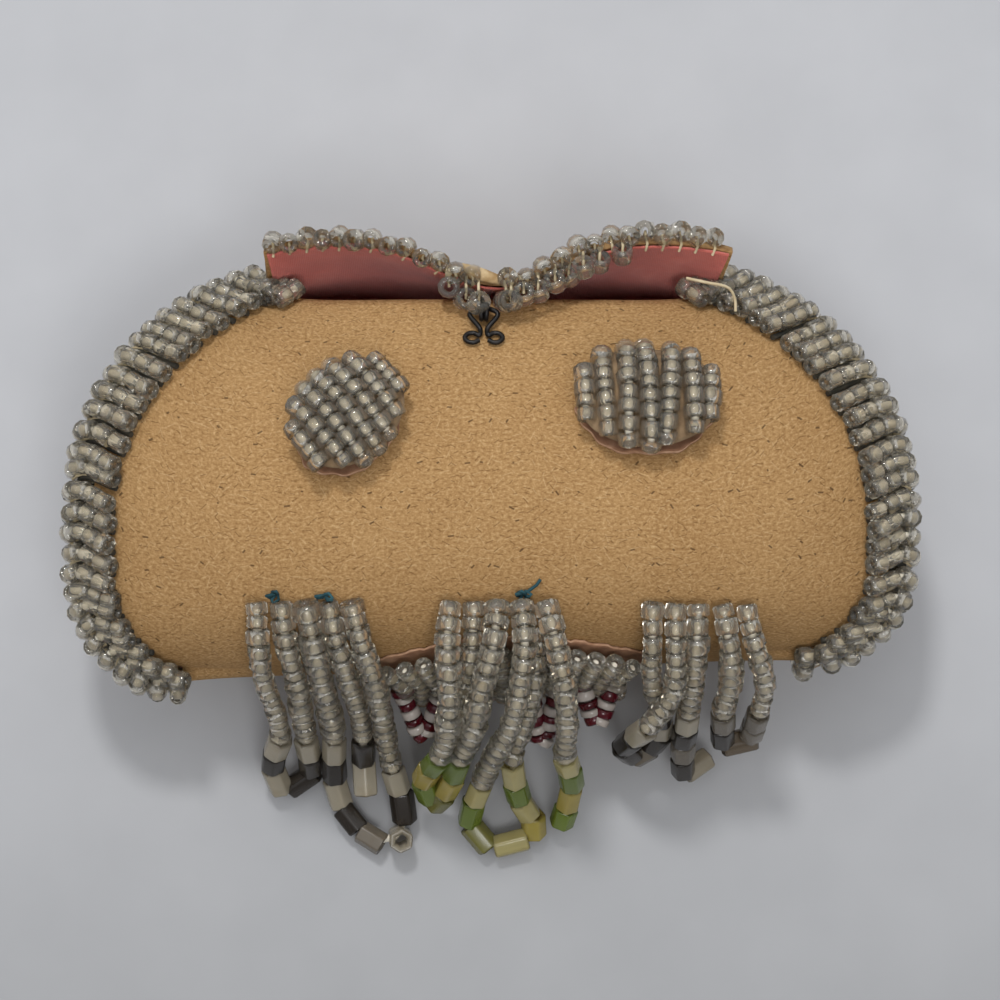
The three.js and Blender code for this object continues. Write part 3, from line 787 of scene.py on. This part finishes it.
for side, x, y, across, along, turn in bosses:
    angle = math.radians(turn)

    def on_boss(a, b, margin, distance):
        a *= across / 2 + margin
        b *= -(along / 2 + margin)
        return on_front(x + a * math.cos(angle) - b * math.sin(angle),
                        y + a * math.sin(angle) + b * math.cos(angle), distance)

    bm = bmesh.new()
    bmesh.ops.create_grid(bm, x_segments=paper_cells, y_segments=paper_cells, size=1)
    for vert in bm.verts:
        disc = rounded(vert.co)
        ring = math.atan2(disc.y, disc.x)
        torn = 1 + sum(depth * math.sin(waves * ring + shift) for depth, waves, shift in torn_waves)
        down = max(disc.y * math.cos(angle) - disc.x * math.sin(angle), 0)
        curl = max(disc.length - curl_from, 0) * (1.6 + 4 * down + math.sin(5 * ring))
        margin = backing_margin * (1.7 * down - 0.5)
        vert.co = on_boss(disc.x * torn, disc.y * torn, margin, gap + curl) * mm
    paper_piece(side + "_boss_paper", bm, side + "_boss_backing")

    bm = bmesh.new()
    bmesh.ops.create_grid(bm, x_segments=stuffing_cells, y_segments=stuffing_cells, size=stuffing_share)
    for vert in bm.verts:
        disc = rounded(vert.co)
        rise = bead_base + stuffing_height * dome(disc.x, disc.y)
        vert.co = on_boss(disc.x, disc.y, 0, rise) * mm
    bmesh.ops.recalc_face_normals(bm, faces=bm.faces)
    stuffing = make_piece(side + "_boss_stuffing", bm, wadding)
    thicken(stuffing, bead_base)
    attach(stuffing, "root")

    pile, threads = new_pile(), []
    for row in range(boss_rows):
        a = (2 * row + 1) / boss_rows - 1 + rng.uniform(-0.02, 0.02)
        sway = rng.uniform(-0.06, 0.06)
        reach = math.sqrt(max(boss_reach - a * a, 0.05)) + rng.uniform(-0.04, 0.04)
        raised = rng.uniform(-0.15, 0.25)
        route = []
        for i in range(boss_steps + 1):
            b = reach * (2 * i / boss_steps - 1)
            rise = bead_base + seed_diameter / 2 + (dome(a, b) + raised)
            route.append(on_boss(a + sway * b, b, 0, rise))
        threads.append(string_beads(pile, route, seed_shape, boss_bead_pitch, clear, boss_bead, spread=0.12))
    beads = make_piece(side + "_boss_glass", pile, clear_glass)
    core = thread_piece(side + "_boss_thread", threads, boss_thread, white_thread)
    for piece in (beads, core):
        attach(piece, "root")
    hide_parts(side + "_boss_beads")


# The fan at the bottom fold: rows of clear beads that spread over an arched piece of the same paper.
# From its lower edge hang three scallops of dark red and white beads.
fan_x, fan_half, fan_top, fan_arch = 2.5, 19.5, 0.8, 0.09
fan_columns, fan_cells, fan_curl, fan_curl_share = 60, 12, 1.1, 0.15
fan_clear_end, fan_end, fan_rows, fan_steps = 0.98, 1, 14, 8
fan_gather, fan_gather_x, fan_start, fan_run = 0.14, 2, 0.05, 0.8
fan_bead, fan_bead_pitch, fan_thread_diameter = 2.75, 2.2, 1.05
scallop_top, scallop_bead, scallop_bead_pitch, scallop_fall = 0.99, 2.9, 1.3, 1.25
scallops = ((-13, (-9.6, -33.6, 13), -6.6), (4.9, (7.3, -34.4, 13), 9.8), (12.6, (15, -32, 15.6), 17.4))
dark_red, dull_white = (84, 14, 26), (196, 186, 178)


def on_fan(x, half, share, end, distance):
    across = (x - fan_x) / half
    r = lerp(fan_top + fan_arch * across * across, end, share)
    return off_card(x / edge_at(r).x, r, distance)


bm = bmesh.new()
bmesh.ops.create_grid(bm, x_segments=fan_columns, y_segments=fan_cells, size=1)
for vert in bm.verts:
    x = fan_x + vert.co.x * fan_half
    share = (1 - vert.co.y) / 2
    torn = 0.02 * math.sin(1.9 * x) + 0.012 * math.sin(5.3 * x)
    curl = fan_curl * max(fan_curl_share - share, 0)
    vert.co = on_fan(x, fan_half, lerp(torn, 1, share), fan_end, gap + curl) * mm
paper_piece("fan_paper", bm, "fan_backing")

pile, threads = new_pile(), []
for row in range(fan_rows):
    top_x = fan_x + (fan_half - backing_margin) * ((2 * row + 1) / fan_rows - 1)
    low_x = lerp(top_x, fan_x + fan_gather_x, fan_gather)
    route = []
    for i in range(fan_steps + 1):
        x = lerp(top_x, low_x, i / fan_steps)
        share = fan_start + fan_run * i / fan_steps
        route.append(on_fan(x, fan_half, share, fan_clear_end, bead_base + seed_diameter / 2))
    route.append(route[-1] + Vector((0, -1.6, -5 + rng.uniform(-0.8, 0.8))))
    threads.append(string_beads(pile, route, seed_shape, fan_bead_pitch, clear, fan_bead, spread=0.11))
fan_glass = make_piece("fan_glass", pile, clear_glass)


def red_and_white(i):
    return shade_of(*(dark_red, dull_white)[i % 2], 8)


ruby_glass = glass_finish("dark_red_and_white_glass", transmission=0.1, roughness=0.05)
pile = new_pile()
for start, low, end in scallops:
    low = Vector(low)
    first, last = (on_fan(x, fan_half, 1, scallop_top, bead_base + seed_diameter / 2) for x in (start, end))
    route = bent(first, lerp(first, low, scallop_fall), lerp(last, low, scallop_fall), last)
    threads.append(string_beads(pile, route, seed_shape, scallop_bead_pitch, red_and_white, scallop_bead))
ruby_beads = make_piece("scallop_glass", pile, ruby_glass)
fan_thread = thread_piece("fan_thread", threads, fan_thread_diameter, white_thread)
for piece, slot in ((fan_glass, "clear_beads"), (fan_thread, "lining"), (ruby_beads, "red_white_beads")):
    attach(piece, "root")
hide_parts("fan_clear_beads")
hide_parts("fan_scallop_left", "fan_scallop_middle", "fan_scallop_right")


# Three fringes hang from the front: strands of clear beads, sewn on in a line, that fall over the fold.
# They end in loops of larger hex-cut satin glass: grey, cream and dark at the sides, green and yellow between.
# A few ends of the blue-green sewing thread are knotted above them.
fringe_y, inner_fringe_y, seat_gap = -17.4, -20.4, -0.2
strand_pitch, strand_head, strand_fullness, string_gap = 2.05, 0.9, 1.06, 0.5
thread_diameter, thread_slack, least_cord = 1.1, 2, 30
hex_diameter, hex_pitch, hex_steps, hex_bevel = 3.9, 4.4, 6, 0.09
hex_profile = ((0.26, -0.44), (0.42, -0.5), (0.49, -0.43), (0.49, 0.43), (0.42, 0.5), (0.26, 0.44))
upright_beads = {"left_drop_2": 5}
knot_diameter, knot_turns, knot_places = 0.45, 4, ((-29.2, -16), (-22.6, -16.2), (4.4, -16))
knot_curl = ((0, 0, 0.2), (0.7, 0.2, 1.1), (1.2, 0.7, 1.2), (0.9, 1.4, 0.6), (0.3, 2.2, 0.4))
knot_tail = ((4.4, -16, 0.4), (5.2, -15.4, 0.7), (6.2, -14.8, 0.5), (6.7, -14.2, 0.3))

strands = {
    "left_strand_1": (-31.7, fringe_y, 2.9, (-31.7, -22.5, 34.2), (-31.3, -27, 28), (-30.2, -30.5, 20.5),
                      (-29.9, -33.3, 13.4)),
    "left_strand_2": (-28.4, fringe_y, 3.1, (-27.9, -22.5, 34.2), (-26.9, -27, 28), (-26.6, -30.5, 20.5),
                      (-26.3, -33.3, 13.4)),
    "left_strand_3": (-25.2, fringe_y, 3.5, (-24.2, -22.5, 34.2), (-23.4, -27, 28), (-22.7, -30.5, 20.5),
                      (-22.3, -33.3, 13.4)),
    "left_strand_4": (-22.1, fringe_y, 2.9, (-21, -22.5, 34.2), (-19.7, -27, 28), (-18.6, -30.5, 20.5),
                      (-18.2, -33.3, 13.4)),
    "left_strand_5": (-19, fringe_y, 3.1, (-17.7, -22.5, 34.2), (-16.1, -27.2, 28), (-15.3, -31, 20.5),
                      (-14.9, -34, 13), (-14.3, -37, 8)),
    "middle_strand_1": (-5.5, fringe_y, 3.3, (-5.9, -23, 37.2), (-5.6, -29.2, 33), (-6, -33.8, 26),
                        (-7, -36.6, 19)),
    "middle_strand_2": (-2.3, fringe_y, 2.8, (-2.6, -23.4, 34.8), (-3.2, -29.2, 27.4), (-3.6, -32, 19.5)),
    "middle_strand_3": (0.8, fringe_y, 3.3, (0.4, -23, 37.2), (-1.4, -29.2, 33), (-2.5, -33.8, 26),
                        (-4.3, -36.8, 18.6)),
    "middle_strand_4": (4.1, fringe_y, 3.1, (4.6, -23, 37.2), (3.8, -29.2, 33), (2.4, -33.8, 26),
                        (0.2, -37, 18), (-1.3, -39.6, 11.4)),
    "middle_strand_5": (7.4, fringe_y, 3.1, (8.8, -23, 37.2), (10.1, -29.2, 33), (10.5, -33.8, 26),
                        (10.3, -36.6, 19)),
    "middle_strand_6": (5.9, inner_fringe_y, 2.8, (6.1, -26, 32.2), (5.4, -30.4, 25.4), (4, -34, 20.5),
                        (2.9, -37, 16.4)),
    "right_strand_1": (21.9, fringe_y, 2.8, (22, -22.5, 34.2), (22.2, -27, 28), (23.7, -30, 20.5)),
    "right_strand_2": (25, fringe_y, 2.9, (25.1, -23, 34.6), (25.1, -28.8, 28.8), (22, -32.8, 21.6)),
    "right_strand_3": (28.1, fringe_y, 3.3, (28, -22.5, 34.2), (27.9, -27, 28), (27.7, -30.5, 20.5)),
    "right_strand_4": (31.3, fringe_y, 3.1, (32.5, -22.5, 33.4), (33.1, -27, 28), (32.5, -30.5, 20.5)),
    "right_strand_5": (34.5, fringe_y, 2.9, (36, -22.5, 32.8), (37.8, -27, 27.6), (37.7, -30.5, 20.5)),
}
cream, dark, grey, brown = (202, 192, 170), (66, 59, 52), (142, 132, 117), (134, 119, 100)
green, yellow, olive, straw = (132, 152, 58), (206, 188, 98), (144, 140, 72), (214, 202, 140)
drops = {
    "left_drop_1": ("left_strand_1", "left_strand_2",
                    ((-31.4, -36.8, 6.4), (-30.2, -39.6, 2.4), (-26.8, -38.2, 3)),
                    (cream, dark, cream, dark, dark)),
    "left_drop_2": ("left_strand_3", "left_strand_5",
                    ((-22.6, -37.8, 6), (-22, -41.3, 3), (-20, -44.7, 2.2), (-16.1, -47.7, 2.2),
                     (-12.9, -47, 2.4), (-12.7, -43.1, 3.4)),
                    (cream, dark, cream, dark, grey, cream, dark, cream, brown)),
    "left_drop_3": ("left_strand_4", None,
                    ((-18.3, -37.5, 7.4), (-18, -41.2, 6.2)),
                    (dark, cream, grey)),
    "middle_drop_1": ("middle_strand_1", "middle_strand_3",
                      ((-9.5, -39.6, 10), (-8, -42, 6), (-5.8, -39.9, 11.2)),
                      (green, yellow, green, olive, yellow)),
    "middle_drop_2": ("middle_strand_4", "middle_strand_6",
                      ((-2.8, -44.9, 3.5), (-0.6, -47.7, 2.2), (2.9, -47.8, 2.2), (6.1, -45.7, 2.6),
                       (4, -41.6, 8)),
                      (straw, green, olive, straw, yellow, straw, green)),
    "middle_drop_3": ("middle_strand_5", None,
                      ((11.4, -39.2, 12), (11.2, -41.9, 7), (10.2, -45, 2.8)),
                      (straw, green, yellow, green)),
    "right_drop_1": ("right_strand_2", "right_strand_1",
                     ((19.2, -34.8, 11), (21.6, -35.2, 6.4), (24, -33.2, 10)),
                     (cream, dark, dark, grey, dark)),
    "right_drop_2": ("right_strand_3", None,
                     ((27.5, -34.8, 11), (28.3, -37.6, 5), (31.6, -35.4, 3.6)),
                     (cream, dark, grey, dark)),
    "right_drop_3": ("right_strand_4", "right_strand_5",
                     ((33.7, -34, 11.4), (36.3, -33.6, 10.6)),
                     (grey, dark, brown, grey)),
}
hex_shape = lathe(hex_profile, hex_steps)
bm = bmesh.new()
bm.from_mesh(hex_shape)
corners = [edge for edge in bm.edges if abs(edge.verts[0].co.z - edge.verts[1].co.z) > 0.86]
corners = [edge for edge in corners if edge.verts[0].co.to_2d().length > 0.45]
bmesh.ops.bevel(bm, geom=corners, offset=hex_bevel, segments=2, profile=0.5, affect="EDGES")
bm.to_mesh(hex_shape)
bm.free()
hex_glass = glass_finish("hex_cut_satin_glass", transmission=0.5, roughness=0.15)
teal_thread = thread_finish("blue_green_thread", (22, 58, 66), (48, 92, 100))


def strand_route(name):
    top_x, top_y, diameter, *points = strands[name]
    top = on_front(top_x, top_y + strand_head, diameter / 2 + seat_gap)
    return smooth_route([top] + [Vector(point) for point in points])


def string_seeds(pile, name):
    diameter = strand_fullness * strands[name][2]
    return string_beads(pile, strand_route(name), seed_shape, strand_pitch, clear, diameter, spread=0.13)


def dress_string(name, pieces, nodes, line):
    for _ in range(thread_slack):
        eased = [(a + 2 * b + c) / 4 for a, b, c in zip(line, line[1:], line[2:])]
        line = [line[0]] + eased + [line[-1]]
    thread = thread_piece(name + "_thread", [line], thread_diameter, white_thread)
    for piece, slot in [(thread, "lining")] + pieces:
        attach(piece, "root")
    for (piece, _), stands_for in zip(pieces, nodes):
        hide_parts(*stands_for)
    length = by_length(line).length
    if length > least_cord:
        [place * mm for place in line]


for name, (start, end, points, colours) in drops.items():
    seeds, hexes = new_pile(), new_pile()
    line = string_seeds(seeds, start)
    points = [Vector(point) for point in points]
    first = Vector(strands[start][-1])
    route = [first + (points[0] - first).normalized() * string_gap] + points
    if end:
        last = Vector(strands[end][-1])
        route.append(last + (points[-1] - last).normalized() * string_gap)

    def hex_colour(i):
        return shade_of(*colours[i % len(colours)], 6)

    line += string_beads(hexes, smooth_route(route), hex_shape, hex_pitch, hex_colour, hex_diameter,
                         spread=0.03, upright=upright_beads.get(name))
    strung = [start]
    if end:
        strung.append(end)
        line += reversed(string_seeds(seeds, end))
    beads = make_piece(name + "_seed_glass", seeds, clear_glass)
    ends = make_piece(name + "_hex_glass", hexes, hex_glass)
    even = ends.modifiers.new("flat_sides", "WEIGHTED_NORMAL")
    even.weight = 100
    slot = "green_beads" if name.startswith("middle") else "grey_beads"
    dress_string(name, [(beads, "clear_beads"), (ends, slot)], [strung, [name]], line)

seeds = new_pile()
line = string_seeds(seeds, "middle_strand_2")
beads = make_piece("middle_strand_2_seed_glass", seeds, clear_glass)
dress_string("middle_strand_2", [(beads, "clear_beads")], [["middle_strand_2"]], line)

knots = []
for x, y in knot_places:
    for _ in range(knot_turns):
        heading = rng.uniform(0, 2 * math.pi)
        curl = []
        for reach, bend, lift in knot_curl:
            across, along = math.cos(heading + bend), 0.6 * math.sin(heading + bend)
            curl.append(on_front(x + reach * across, y + reach * along, lift))
        knots.append(curl)
knots.append([on_front(x, y, lift) for x, y, lift in knot_tail])
knot_piece = thread_piece("fringe_knots", knots, knot_diameter, teal_thread)
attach(knot_piece, "root")


# The fastening is a hook and eye of black lacquered wire.
# The eye is sewn to the front below the lip.
# The doubled hook comes from inside the flap's tip and passes under the eye's loop.
wire_diameter, eye_x, eye_y, eye_height = 0.7, -1, 19.2, 3.9
eye_ring_wide, eye_ring_tall, eye_leg_half, eye_leg_top = 1.05, 0.75, 0.5, 1.35
eye_shoulder, eye_loop_half, ring_turn, ring_step = 3, 1.95, 150, 50
hook_spread, hook_row, hook_lining, hook_bends = 0.33, 2.97, 1.18, ((1, 0), (0.75, 0), (0.62, 1.6), (0.8, 3))
eye_lift = gap + wire_diameter / 2
loop_lift = eye_lift + wire_diameter + gap
black_wire, shader = new_finish("black_lacquered_wire")
rubbed = clouds(black_wire, object_place(black_wire), scale=900.0)
feed(black_wire, shader.inputs["Base Color"], ramp(
    black_wire, rubbed, (0.4, paint(20, 18, 18)), (0.8, paint(48, 43, 40))))
feed(black_wire, shader.inputs["Roughness"], ramp(
    black_wire, rubbed, (0.3, (0.3, 0.3, 0.3, 1)), (0.7, (0.5, 0.5, 0.5, 1))))
shader.inputs["Metallic"].default_value = 0.4


def ring_point(side, degrees):
    angle = math.radians(degrees)
    return on_front(eye_x + side * (eye_leg_half + eye_ring_wide + eye_ring_wide * math.cos(angle)),
                    eye_y + eye_ring_tall * math.sin(angle), eye_lift)


ring_angles = range(-ring_turn, ring_turn + 1, ring_step)
eye_route = [ring_point(-1, degrees) for degrees in ring_angles]
eye_route += [on_front(eye_x + x, eye_y + y, lift) for x, y, lift in (
    (-eye_leg_half, eye_leg_top, eye_lift), (-eye_loop_half, eye_shoulder, loop_lift),
    (0, eye_height, loop_lift),
    (eye_loop_half, eye_shoulder, loop_lift), (eye_leg_half, eye_leg_top, eye_lift))]
eye_route += [ring_point(1, degrees) for degrees in reversed(ring_angles)]
hook_depth = card_thickness + hook_lining + gap + wire_diameter / 2
hook_line = [off_card((eye_x - flap_x) / flap_half, hook_row, -hook_depth)]
hook_line += [on_front(eye_x, eye_y + share * eye_height, eye_lift + lift * wire_diameter)
              for share, lift in hook_bends]
hook_route = [Vector((eye_x - hook_spread, place.y, place.z)) for place in hook_line]
hook_route += [Vector((eye_x + hook_spread, place.y, place.z)) for place in reversed(hook_line)]
for name, route in (("eye", eye_route), ("hook", hook_route)):
    piece = thread_piece("wire_" + name, [smooth_route(route, 8)], wire_diameter, black_wire, 2)
    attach(piece, "root")
    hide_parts(name)
